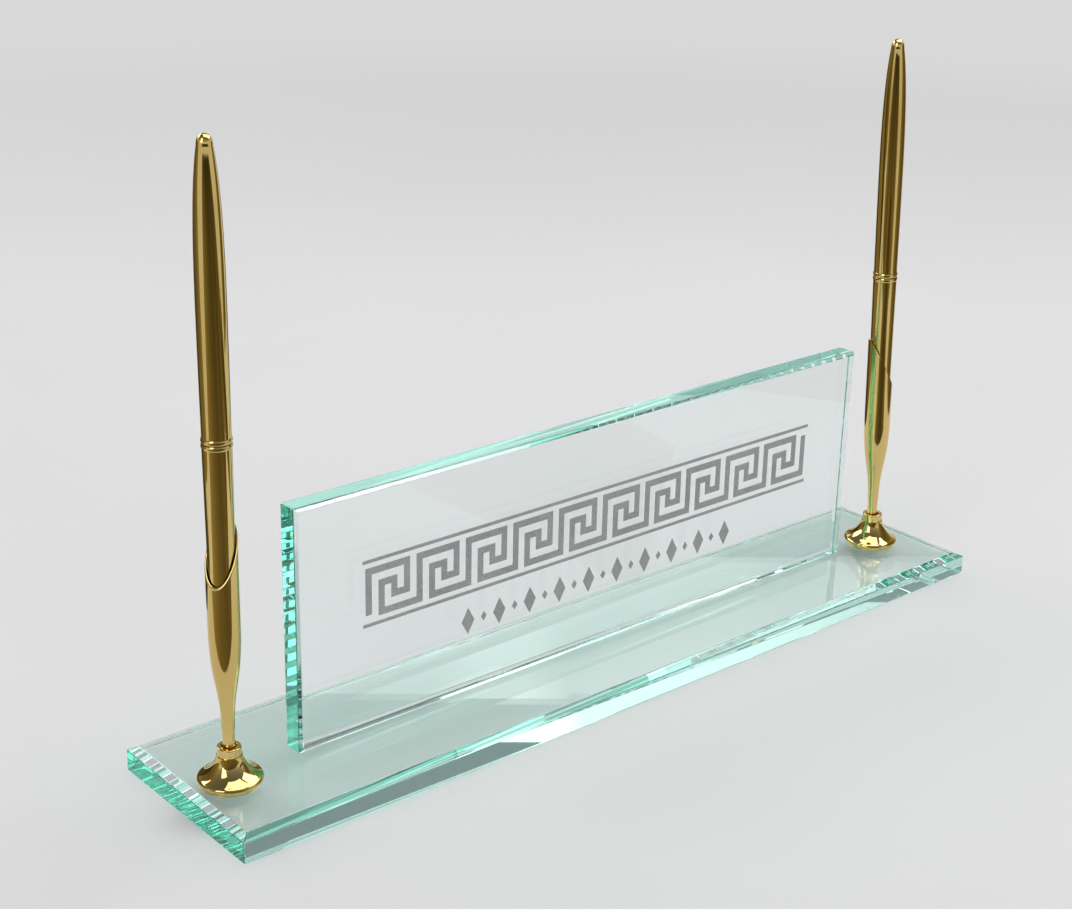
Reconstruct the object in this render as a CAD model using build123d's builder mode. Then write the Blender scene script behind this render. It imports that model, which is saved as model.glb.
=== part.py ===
"""Desk name plate: a bevelled glass base, a glass upright and a swivelling gold pen at each end.

Millimetres, +Z up. The origin is on the desk under the middle of the base. +X runs along the
base, and the face of the upright looks along -Y. Everything that tilts with a pen is measured
along the pen's own axis, from the centre of the swivel ball.
"""

import os
from math import atan2, cos, degrees, hypot, radians, sin, sqrt, tan

from build123d import *

os.makedirs("parts", exist_ok=True)

# Glass base
base_length = 300.0
base_width = 62.0
base_height = 8.0
base_bevel_inset = 2.8
base_bevel_drop = 1.2
base_arris = 0.4

# Glass upright, set in from each end of the base, and the clear film that bonds it there
plate_end_margin = 36.0
plate_height = 75.0
plate_thickness = 8.0
plate_chamfer = 1.0
bond_thickness = 0.1

# Places of the two pen holders: distance from the end of the base, lean of the pen towards the
# upright, and the way that the high side of the funnel mouth faces, counted from +X
left_inset = 12.5
left_lean = 0.0
left_mouth_turn = 30.0
right_inset = 20.0
right_lean = 3.0
right_mouth_turn = 150.0
holder_y = -4.5

# Clearances
fit_clearance = 0.02
running_clearance = 0.05
swivel_clearance = 0.08
spring_clearance = 0.05

# Bell foot
pad_thickness = 0.3
pad_margin = 0.5
foot_diameter = 16.6
foot_height = 0.7
rim_diameter = 18.5
rim_bulge = 0.55
rim_thickness = 1.9
bell_height = 8.9
bell_neck_diameter = 7.3
bell_flare_sag = 1.0
bell_bore_length = 3.2

# Closing disc under the bell
disc_diameter = 14.6
disc_thickness = 1.0
disc_ledge = 0.8
disc_ledge_height = 0.6

# Ball swivel
ball_diameter = 5.2
ball_height = 8.3
swivel_tilt = 8.0
collar_diameter = 6.8
collar_height = 2.6
collar_round = 0.3
cup_floor = 1.2
cup_drop = 1.0
spring_diameter = 10.0
spring_hole = 3.2
spring_gauge = 0.3
stem_diameter = 3.4
stem_length = 8.4
spigot_diameter = 2.2
spigot_length = 4.0

# Pen, lower half
nose_diameter = 2.4
nose_length = 26.0
nose_rise = 6.0
nose_swell = 1.2
shoulder_rise = 11.0
shoulder_diameter = 7.3
lower_length = 66.5
waist_diameter = 7.9
point_hole_diameter = 1.5
point_hole_length = 3.5
point_cone_length = 2.0
refill_bore_diameter = 3.4
refill_bore_length = 12.5
lower_cavity_diameter = 4.4

# Pen, rings at the twist joint
ring_diameter = 8.3
ring_width = 1.3
ring_groove = 0.3
ring_crown = 0.2

# Pen, upper half
upper_length = 75.5
upper_root_diameter = 7.75
upper_belly_diameter = 8.0
upper_belly_height = 35.0
tail_bend = 22.0
tail_rise = 7.5
tail_swell = 1.15
upper_tip_diameter = 4.3
upper_cavity_diameter = 5.4
upper_cavity_length = 36.0
finial_height = 3.0
finial_crown = 2.2
finial_spigot_diameter = 2.4
finial_spigot_length = 3.0

# Pen, twist mechanism and refill
sleeve_diameter = 6.5
sleeve_below = 14.0
sleeve_above = 14.0
sleeve_flats = 4.4
screw_head_gap = 2.0
screw_head_length = 3.0
screw_diameter = 1.9
screw_length = 16.0
plunger_length = 12.0
plunger_top_below_head = 8.0
plunger_bore_depth = 8.5
refill_socket_depth = 3.0
refill_diameter = 3.1
refill_travel = 3.0
refill_tip_diameter = 2.4
refill_point_diameter = 1.1
refill_tip_shoulder = 2.0
refill_tip_length = 8.9
point_recess = 0.6

# Funnel
funnel_wall = 0.4
pen_clearance = 0.26
seat_clearance = 0.35
point_room = 5.0
funnel_floor = 6.6
funnel_root_diameter = 3.7
flare_length = 31.6
flare_bend = 13.6
funnel_length = 61.1
mouth_drop = 17.75
lip_round = 0.12

# Heights along the pen's axis, from the ball centre
spigot_top = stem_length + spigot_length
bore_floor = spigot_top + funnel_floor
nose_end = bore_floor + point_room
shoulder = nose_end + nose_length
lower_top = nose_end + lower_length
twist_joint = lower_top + ring_width + ring_groove / 2
upper_root = twist_joint + ring_groove / 2 + ring_width
upper_belly = upper_root + upper_belly_height
upper_top = upper_root + upper_length
mouth_high = stem_length + funnel_length
mouth_low = mouth_high - mouth_drop
sleeve_bottom = twist_joint - sleeve_below
sleeve_top = twist_joint + sleeve_above
screw_head = sleeve_top + screw_head_gap
screw_head_top = screw_head + screw_head_length
plunger_top = screw_head - plunger_top_below_head
plunger_bottom = plunger_top - plunger_length
refill_top = plunger_bottom + refill_socket_depth
refill_point = nose_end + point_recess
refill_tube_bottom = refill_point + refill_tip_length

# Radii that follow from the fits
lower_slope = (waist_diameter - shoulder_diameter) / 2 / (lower_top - shoulder)
pen_radius_at_mouth = shoulder_diameter / 2 + lower_slope * (mouth_high - shoulder)
funnel_bore = pen_radius_at_mouth + pen_clearance
funnel_radius = funnel_bore + funnel_wall
ball_radius = ball_diameter / 2
ball_seat = ball_radius + running_clearance
cup_radius = ball_seat
bell_bore = cup_radius + running_clearance
stem_radius = stem_diameter / 2
turning_bore = sleeve_diameter / 2 + running_clearance
fixed_bore = sleeve_diameter / 2 + fit_clearance

# The stem, tilted as far as it goes, sweeps a cone through the collar, which stops it there.
# The cone meets the ball's seat at the throat.
tilt_slope = tan(radians(swivel_tilt))
opening_at_centre = stem_radius / cos(radians(swivel_tilt)) + swivel_clearance
throat_square = 1 + tilt_slope**2
throat_linear = opening_at_centre * tilt_slope
throat_constant = opening_at_centre**2 - ball_seat**2
throat_height = (sqrt(throat_linear**2 - throat_square * throat_constant) - throat_linear) / throat_square


def opening_radius(height):
    """Radius of the collar's opening at a height above the ball centre."""
    return opening_at_centre + tilt_slope * height


def seat_radius(height):
    """Radius of the ball's spherical seat at a height above the ball centre."""
    return sqrt(ball_seat**2 - height**2)


# Glass base: polished slab with a wide shallow bevel round its top
with BuildPart() as base_plate:
    with BuildSketch():
        Rectangle(base_length, base_width)
    extrude(amount=base_height)
    base_top = base_plate.faces().sort_by(Axis.Z)[-1]
    base_underside = base_plate.faces().sort_by(Axis.Z)[0]
    chamfer(base_top.edges(), base_bevel_inset, base_bevel_drop, reference=base_top)
    chamfer(base_underside.edges(), base_arris)
base_plate.part.label = "base_plate"
export_step(base_plate.part, "parts/base_plate.step")

# Glass upright: stands on the bond film, front and back edges bevelled
plate_foot = base_height + bond_thickness
plate_length = base_length - 2 * plate_end_margin
with BuildPart() as upright_plate:
    with BuildSketch(Plane.XY.offset(plate_foot)):
        Rectangle(plate_length, plate_thickness)
    extrude(amount=plate_height)
    chamfer(upright_plate.faces().filter_by(Axis.Y).edges(), plate_chamfer)
upright_plate.part.label = "upright_plate"
export_step(upright_plate.part, "parts/upright_plate.step")

# Clear adhesive film under the flat foot of the upright
with BuildPart() as plate_bond:
    with BuildSketch(Plane.XY.offset(base_height)):
        Rectangle(plate_length, plate_thickness - 2 * plate_chamfer)
    extrude(amount=bond_thickness)
plate_bond.part.label = "plate_bond"
export_step(plate_bond.part, "parts/plate_bond.step")

# The two pen holders differ only in place, lean and the turn of the mouth. A pen on the left
# leans towards +X, and one on the right towards -X.
holders = (
    ("left", left_inset - base_length / 2, left_lean, left_mouth_turn),
    ("right", base_length / 2 - right_inset, -right_lean, right_mouth_turn),
)

for side, holder_x, lean, mouth_turn in holders:
    # Upright half-plane of the bell: x is the radius, y the height above the bell's underside
    bell_underside = base_height + pad_thickness
    bell_origin = Vector(holder_x, holder_y, bell_underside)
    bell_section = Plane(bell_origin, x_dir=(1, 0, 0), z_dir=(0, -1, 0))
    bell_axis = Axis(bell_origin, (0, 0, 1))

    # Half-plane of the pen: x is the radius, y the height along the pen from the ball centre
    ball_centre = bell_origin + Vector(0, 0, ball_height)
    pen_direction = Vector(sin(radians(lean)), 0, cos(radians(lean)))
    pen_across = Vector(cos(radians(lean)), 0, -sin(radians(lean)))
    pen_section = Plane(ball_centre, x_dir=pen_across, z_dir=(0, -1, 0))
    pen_axis = Axis(ball_centre, pen_direction)
    pen_round = Plane(ball_centre, x_dir=pen_across, z_dir=pen_direction)

    # Clear adhesive pad that holds the bell to the glass
    with BuildPart() as bell_pad:
        with BuildSketch(Plane((holder_x, holder_y, base_height))):
            Circle(foot_diameter / 2 - pad_margin)
        extrude(amount=pad_thickness)
    bell_pad.part.label = f"{side}_bell_pad"
    export_step(bell_pad.part, f"parts/{side}_bell_pad.step")

    # Bell: stepped foot, rolled rim, hollow flare and a bore for the ball and its cup
    rim_root = rim_diameter / 2 - rim_bulge
    rim_top = foot_height + rim_thickness
    disc_recess = disc_diameter / 2 + fit_clearance
    cavity_radius = disc_diameter / 2 - disc_ledge
    with BuildPart() as bell:
        with BuildSketch(bell_section):
            with BuildLine():
                Polyline(
                    (disc_recess, 0),
                    (foot_diameter / 2, 0),
                    (foot_diameter / 2, foot_height),
                    (rim_root, foot_height),
                )
                ThreePointArc(
                    (rim_root, foot_height),
                    (rim_diameter / 2, foot_height + rim_thickness / 2),
                    (rim_root, rim_top),
                )
                SagittaArc((rim_root, rim_top), (bell_neck_diameter / 2, bell_height), bell_flare_sag)
                Polyline(
                    (bell_neck_diameter / 2, bell_height),
                    (bell_bore, bell_height),
                    (bell_bore, bell_height - bell_bore_length),
                    (cavity_radius, disc_thickness + disc_ledge_height),
                    (cavity_radius, disc_thickness),
                    (disc_recess, disc_thickness),
                    (disc_recess, 0),
                )
            make_face()
        revolve(axis=bell_axis)
    bell.part.label = f"{side}_bell"
    export_step(bell.part, f"parts/{side}_bell.step")

    # Steel disc that closes the bell and carries the spring
    with BuildPart() as closing_disc:
        with BuildSketch(Plane(bell_origin)):
            Circle(disc_diameter / 2)
        extrude(amount=disc_thickness)
    closing_disc.part.label = f"{side}_closing_disc"
    export_step(closing_disc.part, f"parts/{side}_closing_disc.step")

    # Conical spring washer that presses the cup up against the ball
    cup_bottom = ball_height - ball_seat - cup_floor
    spring_top = cup_bottom - spring_clearance
    spring_run = (spring_diameter - spring_hole) / 2
    spring_rise = spring_top - disc_thickness
    spring_skin = spring_gauge * hypot(spring_run, spring_rise) / spring_run
    with BuildPart() as spring_washer:
        with BuildSketch(bell_section):
            with BuildLine():
                Polyline(
                    (spring_diameter / 2, disc_thickness),
                    (spring_diameter / 2, disc_thickness + spring_skin),
                    (spring_hole / 2, spring_top),
                    (spring_hole / 2, spring_top - spring_skin),
                    close=True,
                )
            make_face()
        revolve(axis=bell_axis)
    spring_washer.part.label = f"{side}_spring_washer"
    export_step(spring_washer.part, f"parts/{side}_spring_washer.step")

    # Friction cup: turns under the ball as the funnel is swung round
    with BuildPart() as friction_cup:
        with BuildSketch(bell_section):
            with BuildLine():
                seat_start = (0, ball_height - ball_seat)
                seat_end = (seat_radius(cup_drop), ball_height - cup_drop)
                seat_middle = (ball_height - ball_seat + ball_height - cup_drop) / 2
                ThreePointArc(seat_start, (seat_radius(ball_height - seat_middle), seat_middle), seat_end)
                Polyline(
                    seat_end,
                    (cup_radius, ball_height - cup_drop),
                    (cup_radius, cup_bottom),
                    (0, cup_bottom),
                    seat_start,
                )
            make_face()
        revolve(axis=bell_axis)
    friction_cup.part.label = f"{side}_friction_cup"
    export_step(friction_cup.part, f"parts/{side}_friction_cup.step")

    # Collar: caps the ball, and its coned opening stops the stem
    collar_foot = bell_height - ball_height
    collar_top = collar_foot + collar_height
    with BuildPart() as collar:
        with BuildSketch(Plane(ball_centre, x_dir=(1, 0, 0), z_dir=(0, -1, 0))):
            with BuildLine():
                inner_foot = (seat_radius(collar_foot), collar_foot)
                throat = (opening_radius(throat_height), throat_height)
                seat_middle = (collar_foot + throat_height) / 2
                ThreePointArc(inner_foot, (seat_radius(seat_middle), seat_middle), throat)
                Polyline(
                    throat,
                    (opening_radius(collar_top), collar_top),
                    (collar_diameter / 2, collar_top),
                    (collar_diameter / 2, collar_foot),
                    inner_foot,
                )
            make_face()
        revolve(axis=bell_axis)
        fillet(collar.edges().group_by(Axis.Z)[-1].sort_by(SortBy.RADIUS)[-1], collar_round)
    collar.part.label = f"{side}_collar"
    export_step(collar.part, f"parts/{side}_collar.step")

    # Ball stud: ball, stem and the spigot that the funnel screws on to
    with BuildPart() as ball_stud:
        with BuildSketch(pen_section):
            with BuildLine():
                ball_bottom = (0, -ball_radius)
                neck = (stem_radius, sqrt(ball_radius**2 - stem_radius**2))
                ThreePointArc(ball_bottom, (ball_radius, 0), neck)
                Polyline(
                    neck,
                    (stem_radius, stem_length),
                    (spigot_diameter / 2, stem_length),
                    (spigot_diameter / 2, spigot_top),
                    (0, spigot_top),
                    ball_bottom,
                )
            make_face()
        revolve(axis=pen_axis)
    ball_stud.part.label = f"{side}_ball_stud"
    export_step(ball_stud.part, f"parts/{side}_ball_stud.step")

    # Funnel: slim trumpet whose bore follows the pen's nose, with the mouth cut on a slant
    flare_end = stem_length + flare_length
    flare_turn = stem_length + flare_bend
    seat_root = nose_diameter / 2 + seat_clearance
    spigot_bore = spigot_diameter / 2 + fit_clearance
    high_side = pen_across * cos(radians(mouth_turn)) + Vector(0, sin(radians(mouth_turn)), 0)
    mouth_slope = mouth_drop / (2 * funnel_radius)
    mouth_centre = ball_centre + pen_direction * (mouth_high - mouth_drop / 2)
    with BuildPart() as funnel:
        with BuildSketch(pen_section):
            with BuildLine():
                Bezier(
                    (funnel_root_diameter / 2, stem_length),
                    (funnel_root_diameter / 2, flare_turn),
                    (funnel_radius, flare_turn),
                    (funnel_radius, flare_end),
                )
                Polyline(
                    (funnel_radius, flare_end),
                    (funnel_radius, mouth_high),
                    (funnel_bore, mouth_high),
                    (funnel_bore, shoulder),
                )
                Bezier(
                    (funnel_bore, shoulder),
                    (funnel_bore, shoulder - shoulder_rise),
                    (seat_root + nose_swell, nose_end + nose_rise),
                    (seat_root, nose_end),
                )
                Polyline(
                    (seat_root, nose_end),
                    (seat_root, bore_floor),
                    (0, bore_floor),
                    (0, spigot_top),
                    (spigot_bore, spigot_top),
                    (spigot_bore, stem_length),
                    (funnel_root_diameter / 2, stem_length),
                )
            make_face()
        revolve(axis=pen_axis)
        split(bisect_by=Plane(mouth_centre, z_dir=pen_direction - high_side * mouth_slope), keep=Keep.BOTTOM)
        fillet(funnel.edges().filter_by(GeomType.ELLIPSE), lip_round)
    funnel.part.label = f"{side}_funnel"
    export_step(funnel.part, f"parts/{side}_funnel.step")

    # Pen, lower barrel: tapered tube with a pointed nose, bored for the refill and the sleeve
    cone_bottom = nose_end + point_hole_length
    cone_top = cone_bottom + point_cone_length
    refill_bore_top = cone_top + refill_bore_length
    with BuildPart() as lower_barrel:
        with BuildSketch(pen_section):
            with BuildLine():
                Bezier(
                    (nose_diameter / 2, nose_end),
                    (nose_diameter / 2 + nose_swell, nose_end + nose_rise),
                    (shoulder_diameter / 2, shoulder - shoulder_rise),
                    (shoulder_diameter / 2, shoulder),
                )
                Polyline(
                    (shoulder_diameter / 2, shoulder),
                    (waist_diameter / 2, lower_top),
                    (fixed_bore, lower_top),
                    (fixed_bore, sleeve_bottom),
                    (lower_cavity_diameter / 2, sleeve_bottom),
                    (lower_cavity_diameter / 2, refill_bore_top),
                    (refill_bore_diameter / 2, refill_bore_top),
                    (refill_bore_diameter / 2, cone_top),
                    (point_hole_diameter / 2, cone_bottom),
                    (point_hole_diameter / 2, nose_end),
                    (nose_diameter / 2, nose_end),
                )
            make_face()
        revolve(axis=pen_axis)
    lower_barrel.part.label = f"{side}_lower_barrel"
    export_step(lower_barrel.part, f"parts/{side}_lower_barrel.step")

    # Pen, the two crowned rings at the twist joint: the lower one is fixed, the upper one turns
    rings = (
        ("lower_ring", lower_top, fixed_bore),
        ("upper_ring", upper_root - ring_width, turning_bore),
    )
    for ring_name, ring_foot, ring_bore in rings:
        ring_edge = ring_diameter / 2 - ring_crown
        with BuildPart() as ring:
            with BuildSketch(pen_section):
                with BuildLine():
                    ThreePointArc(
                        (ring_edge, ring_foot),
                        (ring_diameter / 2, ring_foot + ring_width / 2),
                        (ring_edge, ring_foot + ring_width),
                    )
                    Polyline(
                        (ring_edge, ring_foot + ring_width),
                        (ring_bore, ring_foot + ring_width),
                        (ring_bore, ring_foot),
                        (ring_edge, ring_foot),
                    )
                make_face()
            revolve(axis=pen_axis)
        ring.part.label = f"{side}_{ring_name}"
        export_step(ring.part, f"parts/{side}_{ring_name}.step")

    # Pen, upper barrel: swells a little, then runs to a slender tail
    finial_bore = finial_spigot_diameter / 2 + fit_clearance
    with BuildPart() as upper_barrel:
        with BuildSketch(pen_section):
            with BuildLine():
                Bezier(
                    (upper_root_diameter / 2, upper_root),
                    (upper_belly_diameter / 2, upper_root + upper_belly_height / 2),
                    (upper_belly_diameter / 2, upper_belly),
                )
                Bezier(
                    (upper_belly_diameter / 2, upper_belly),
                    (upper_belly_diameter / 2, upper_belly + tail_bend),
                    (upper_tip_diameter / 2 + tail_swell, upper_top - tail_rise),
                    (upper_tip_diameter / 2, upper_top),
                )
                Polyline(
                    (upper_tip_diameter / 2, upper_top),
                    (finial_bore, upper_top),
                    (finial_bore, upper_top - finial_spigot_length),
                    (0, upper_top - finial_spigot_length),
                    (0, screw_head_top + upper_cavity_length),
                    (upper_cavity_diameter / 2, screw_head_top + upper_cavity_length),
                    (upper_cavity_diameter / 2, screw_head_top),
                    (turning_bore, screw_head_top),
                    (turning_bore, upper_root),
                    (upper_root_diameter / 2, upper_root),
                )
            make_face()
        revolve(axis=pen_axis)
    upper_barrel.part.label = f"{side}_upper_barrel"
    export_step(upper_barrel.part, f"parts/{side}_upper_barrel.step")

    # Pen, domed finial plugged into the tail of the upper barrel
    with BuildPart() as finial:
        with BuildSketch(pen_section):
            with BuildLine():
                dome_foot = (upper_tip_diameter / 2, upper_top)
                dome_top = (0, upper_top + finial_height)
                Bezier(
                    dome_foot,
                    (upper_tip_diameter / 2, upper_top + finial_crown),
                    (upper_tip_diameter / 2 / 2, upper_top + finial_height),
                    dome_top,
                )
                Polyline(
                    dome_top,
                    (0, upper_top - finial_spigot_length),
                    (finial_spigot_diameter / 2, upper_top - finial_spigot_length),
                    (finial_spigot_diameter / 2, upper_top),
                    dome_foot,
                )
            make_face()
        revolve(axis=pen_axis)
    finial.part.label = f"{side}_finial"
    export_step(finial.part, f"parts/{side}_finial.step")

    # Twist mechanism, sleeve: fixed in the lower barrel, its flats keep the plunger from turning
    with BuildPart() as sleeve:
        with BuildSketch(pen_round.offset(sleeve_bottom)):
            Circle(sleeve_diameter / 2)
            RegularPolygon(sleeve_flats / 2, 6, major_radius=False, mode=Mode.SUBTRACT)
        extrude(amount=sleeve_top - sleeve_bottom)
    sleeve.part.label = f"{side}_twist_sleeve"
    export_step(sleeve.part, f"parts/{side}_twist_sleeve.step")

    # Twist mechanism, drive screw: its head is pressed into the upper barrel and turns with it
    with BuildPart() as drive_screw:
        with BuildSketch(pen_round.offset(screw_head)):
            Circle(turning_bore - fit_clearance)
        extrude(amount=screw_head_length)
        with BuildSketch(pen_round.offset(screw_head)):
            Circle(screw_diameter / 2)
        extrude(amount=-screw_length)
    drive_screw.part.label = f"{side}_drive_screw"
    export_step(drive_screw.part, f"parts/{side}_drive_screw.step")

    # Twist mechanism, plunger: six-sided nut that slides in the sleeve and carries the refill
    with BuildPart() as plunger:
        with BuildSketch(pen_round.offset(plunger_bottom)):
            RegularPolygon(sleeve_flats / 2 - running_clearance, 6, major_radius=False)
        extrude(amount=plunger_length)
        with BuildSketch(pen_round.offset(plunger_top)):
            Circle(screw_diameter / 2 + running_clearance)
        extrude(amount=-plunger_bore_depth, mode=Mode.SUBTRACT)
        with BuildSketch(pen_round.offset(plunger_bottom)):
            Circle(refill_diameter / 2 + fit_clearance)
        extrude(amount=refill_socket_depth, mode=Mode.SUBTRACT)
    plunger.part.label = f"{side}_plunger"
    export_step(plunger.part, f"parts/{side}_plunger.step")

    # Refill: ink tube in the plunger's socket, and the brass point at its lower end
    with BuildPart() as refill_tube:
        with BuildSketch(pen_round.offset(refill_tube_bottom)):
            Circle(refill_diameter / 2)
        extrude(amount=refill_top - refill_tube_bottom)
    refill_tube.part.label = f"{side}_refill_tube"
    export_step(refill_tube.part, f"parts/{side}_refill_tube.step")

    with BuildPart() as refill_tip:
        with BuildSketch(pen_section):
            with BuildLine():
                ball_end = refill_point + refill_point_diameter / 2
                RadiusArc((0, refill_point), (refill_point_diameter / 2, ball_end), -refill_point_diameter / 2)
                Polyline(
                    (refill_point_diameter / 2, ball_end),
                    (refill_point_diameter / 2, refill_tube_bottom - refill_tip_shoulder),
                    (refill_tip_diameter / 2, refill_tube_bottom),
                    (0, refill_tube_bottom),
                    (0, refill_point),
                )
            make_face()
        revolve(axis=pen_axis)
    refill_tip.part.label = f"{side}_refill_tip"
    export_step(refill_tip.part, f"parts/{side}_refill_tip.step")

print(f"funnel bore {2 * funnel_bore:.2f}, outside {2 * funnel_radius:.2f}, mouth {mouth_low:.2f} to {mouth_high:.2f}")
print(f"collar throat {2 * opening_radius(throat_height):.2f} at {throat_height:.2f} above the ball centre")
print(f"mouth slant {degrees(atan2(mouth_drop, 2 * funnel_radius)):.1f} degrees")
print(f"pen length {upper_top + finial_height - nose_end:.1f}, refill travel {refill_travel:.1f}")
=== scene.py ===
# %% [markdown]
# A desk name plate: a bevelled slab of jade glass carries an upright glass plate, and at each end
# a gold pen stands in a slim funnel on a ball swivel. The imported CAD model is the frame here. It
# fixes every place and size, and this lesson dresses it in glass, gold and frosting.

import bmesh
import bpy
import numpy as np
from mathutils import Matrix


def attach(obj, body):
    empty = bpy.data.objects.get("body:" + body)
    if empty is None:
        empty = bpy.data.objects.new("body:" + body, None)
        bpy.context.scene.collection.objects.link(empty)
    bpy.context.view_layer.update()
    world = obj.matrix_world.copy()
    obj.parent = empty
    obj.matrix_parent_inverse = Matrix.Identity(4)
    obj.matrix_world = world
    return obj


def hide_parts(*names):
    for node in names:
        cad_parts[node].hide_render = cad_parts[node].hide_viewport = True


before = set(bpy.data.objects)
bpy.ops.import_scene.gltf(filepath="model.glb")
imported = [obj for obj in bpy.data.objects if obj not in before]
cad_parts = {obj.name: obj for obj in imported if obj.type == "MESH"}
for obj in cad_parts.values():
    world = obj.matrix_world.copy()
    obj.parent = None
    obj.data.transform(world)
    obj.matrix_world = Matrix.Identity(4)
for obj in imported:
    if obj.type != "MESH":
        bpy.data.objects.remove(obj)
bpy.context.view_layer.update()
scene = bpy.context.scene
MM = 0.001

# %% [markdown]
# Shader maths reads best as plain sums. A small class wraps a socket, so that a plus sign adds a
# Math node by itself, and one method adds every other node. The same two classes serve the
# finishes of the object, the floor and the studio round it.


# %% Sockets that can be added and multiplied
class Wire:
    """An output socket. Each operator adds one Math node, and hands back that node's output."""

    def __init__(self, sheet, socket):
        self.sheet = sheet
        self.socket = socket

    def math(self, operation, other):
        return self.sheet.node("Math", {"operation": operation}, {0: self, 1: other})

    def __add__(self, other):
        return self.math("ADD", other)

    def __mul__(self, other):
        return self.math("MULTIPLY", other)

    __radd__ = __add__
    __rmul__ = __mul__


class Sheet:
    """One node tree, and the method that adds a node to it."""

    def __init__(self, owner):
        owner.use_nodes = True
        self.owner = owner
        self.tree = owner.node_tree
        self.tree.nodes.clear()

    def node(self, kind, settings=None, inputs=None, output=0):
        """Adds a node, sets its settings first, then fills its sockets with values or links."""
        made = self.tree.nodes.new("ShaderNode" + kind)
        for key, value in (settings or {}).items():
            if key == "stops":
                for stop, (place, colour) in zip(self.ramp(made, len(value)), value):
                    stop.position = place
                    stop.color = (*colour, 1.0)
            else:
                setattr(made, key, value)
        for key, value in (inputs or {}).items():
            if isinstance(value, Wire):
                self.tree.links.new(value.socket, made.inputs[key])
            else:
                made.inputs[key].default_value = value
        return Wire(self, made.outputs[output]) if made.outputs else None

    def ramp(self, made, count):
        """A ramp starts with two stops, and gets as many more as it needs."""
        stops = made.color_ramp.elements
        for _ in range(count - 2):
            stops.new(0.5)
        return stops

    def noise(self, scale, detail=2.0):
        """Noise on Object coordinates, as many waves to the metre as the scale says."""
        place = self.node("TexCoord", output="Object")
        return self.node("TexNoise", {}, {"Vector": place, "Scale": scale, "Detail": detail})

    def blend(self, low, high, share):
        """Colour that goes from low to high where the share goes from 0.3 to 0.7."""
        return self.node("ValToRGB", {"stops": ((0.3, low), (0.7, high))}, {0: share})


def finish_named(name):
    """A new material with an empty node tree."""
    return Sheet(bpy.data.materials.new(name))


print("sockets: ready")

# %% [markdown]
# Jade glass is float glass with some iron in it: clear through its thickness, mint through its
# height and dark green along its length. Painting that on would hold from one side only, so the
# colour sits in the volume as absorption, and the path of each ray decides how green it gets. The
# rungs on the ends need no pattern either: a ray that enters an end runs along the slab, from face
# to face, and the chamfers it meets on the way turn it up or down. Lamps have to reach the floor
# through the glass, so shadow rays and the floor's own diffuse rays pass it unbent.

# %% Jade glass
GLASS_TINT = (0.38, 0.90, 0.80, 1.0)
GLASS_DENSITY = 10.0
GLASS_IOR = 1.52
LIGHT_LET_THROUGH = (0.93, 0.97, 0.95, 1.0)


def jade_glass():
    """Polished clear glass, tinted by its volume, with a trace of haze where it was wiped."""
    sheet = finish_named("jade_glass")
    wipe = sheet.noise(38.0, 4.0)
    glass = sheet.node(
        "BsdfPrincipled",
        {},
        {
            "Base Color": (1.0, 1.0, 1.0, 1.0),
            "Roughness": 0.002 + 0.006 * wipe,
            "IOR": GLASS_IOR,
            "Transmission Weight": 1.0,
        },
    )
    clear = sheet.node("BsdfTransparent", {}, {"Color": LIGHT_LET_THROUGH})
    to_lamp = sheet.node("LightPath", output="Is Shadow Ray")
    from_floor = sheet.node("LightPath", output="Is Diffuse Ray")
    both = sheet.node("MixShader", {}, {0: to_lamp + from_floor, 1: glass, 2: clear})
    soak = sheet.node("VolumeAbsorption", {}, {"Color": GLASS_TINT, "Density": GLASS_DENSITY})
    sheet.node("OutputMaterial", {}, {"Surface": both, "Volume": soak})
    return sheet.owner


FINISHES = {"jade_glass": jade_glass()}
print("finishes:", *FINISHES)

# %% [markdown]
# The pens, funnels and bells are brass with a polished gold plating. Such plating is almost a
# mirror: what one sees is the room. A little uneven roughness, from handling and wiping, and a
# slow drift of the colour keep it from looking like a computed mirror. The brass and steel inside
# are the same metal recipe, duller and with finer grain.


# %% Polished gold and the metals inside
def metal(name, deep, pale, low_rough, rough_span, grain):
    """Metal whose colour drifts between two tones, and whose roughness follows finer noise."""
    sheet = finish_named(name)
    colour = sheet.blend(deep, pale, sheet.noise(grain * 0.15))
    smudge = sheet.noise(grain, 5.0)
    shine = sheet.node(
        "BsdfPrincipled",
        {},
        {"Base Color": colour, "Metallic": 1.0, "Roughness": low_rough + rough_span * smudge},
    )
    sheet.node("OutputMaterial", {}, {"Surface": shine})
    return sheet.owner


GOLD_DEEP, GOLD_PALE = (0.66, 0.48, 0.16), (0.76, 0.58, 0.22)
BRASS_DEEP, BRASS_PALE = (0.60, 0.43, 0.17), (0.68, 0.50, 0.22)
STEEL_DEEP, STEEL_PALE = (0.42, 0.42, 0.43), (0.55, 0.55, 0.55)
FINISHES["polished_gold"] = metal("polished_gold", GOLD_DEEP, GOLD_PALE, 0.03, 0.07, 180.0)
FINISHES["plain_brass"] = metal("plain_brass", BRASS_DEEP, BRASS_PALE, 0.22, 0.18, 400.0)
FINISHES["steel"] = metal("spring_steel", STEEL_DEEP, STEEL_PALE, 0.25, 0.2, 500.0)
print("finishes:", *FINISHES)

# %% [markdown]
# The plastics hardly show: a nylon cup under the ball, the ink tube in the pen. They still get a
# moulded surface, with fine grain in the bump and a slight mottle in the colour.


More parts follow.
